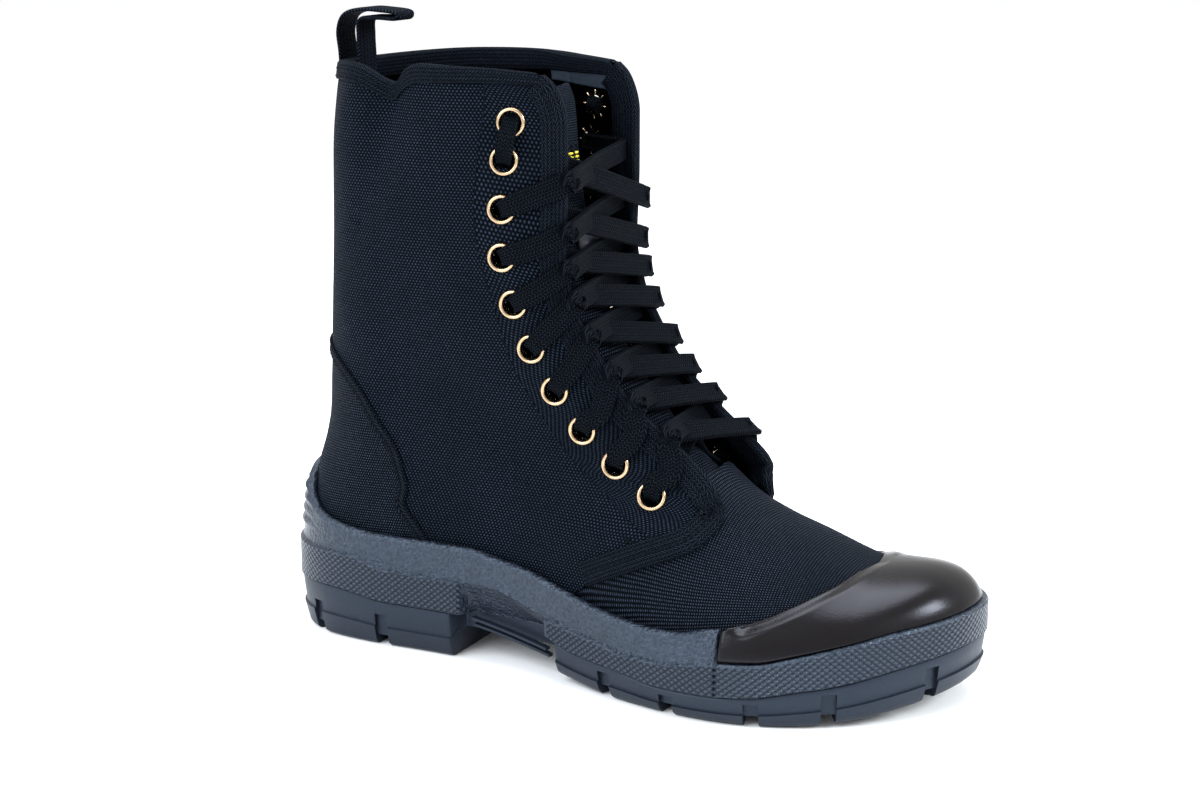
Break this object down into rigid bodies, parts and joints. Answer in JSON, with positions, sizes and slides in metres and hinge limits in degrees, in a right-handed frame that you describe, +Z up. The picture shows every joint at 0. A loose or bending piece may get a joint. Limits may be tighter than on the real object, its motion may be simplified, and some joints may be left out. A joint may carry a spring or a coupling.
{
  "type": "canvas work boot",
  "caption": "High lace-up canvas boot for the right foot with a rubber sole, raised rim and toe cap, standing empty with its lace tied off inside.",
  "frame": {"origin": "on the floor under the middle of the heel", "axes": "+X towards the toe, +Y towards the inner side of the foot, +Z up"},
  "size_m": [0.2985, 0.1142, 0.2607],
  "materials": {
    "tape": "twill tape, matt",
    "brass": "polished",
    "foam": "cloth faced foam",
    "lace": "flat braid, matt",
    "rubber": "matt moulded rubber with a pebbled and knurled surface",
    "tread": "satin moulded rubber",
    "cap": "glossy pebbled rubber",
    "canvas": "plain weave cotton canvas, matt",
    "leather": "satin grey leather"
  },
  "bodies": {
    "root": {"back_strip": "tape", "collar_tape": "tape", "counter_tape": "tape", "edge_tape_lateral": "tape", "edge_tape_medial": "tape", "eyelet_lateral_1": "brass", "eyelet_lateral_10": "brass", "eyelet_lateral_2": "brass", "eyelet_lateral_3": "brass", "eyelet_lateral_4": "brass", "eyelet_lateral_5": "brass", "eyelet_lateral_6": "brass", "eyelet_lateral_7": "brass", "eyelet_lateral_8": "brass", "eyelet_lateral_9": "brass", "eyelet_medial_1": "brass", "eyelet_medial_10": "brass", "eyelet_medial_2": "brass", "eyelet_medial_3": "brass", "eyelet_medial_4": "brass", "eyelet_medial_5": "brass", "eyelet_medial_6": "brass", "eyelet_medial_7": "brass", "eyelet_medial_8": "brass", "eyelet_medial_9": "brass", "insole": "foam", "lace_crossing_1": "lace", "lace_crossing_2": "lace", "lace_crossing_3": "lace", "lace_crossing_4": "lace", "lace_crossing_5": "lace", "lace_crossing_6": "lace", "lace_crossing_7": "lace", "lace_crossing_8": "lace", "lace_loop_lateral": "lace", "lace_loop_medial": "lace", "midsole": "rubber", "outsole": "tread", "pull_loop": "tape", "toe_cap": "cap", "tongue": "canvas", "tongue_keeper": "leather", "upper": "canvas"}
  },
  "joints": []
}
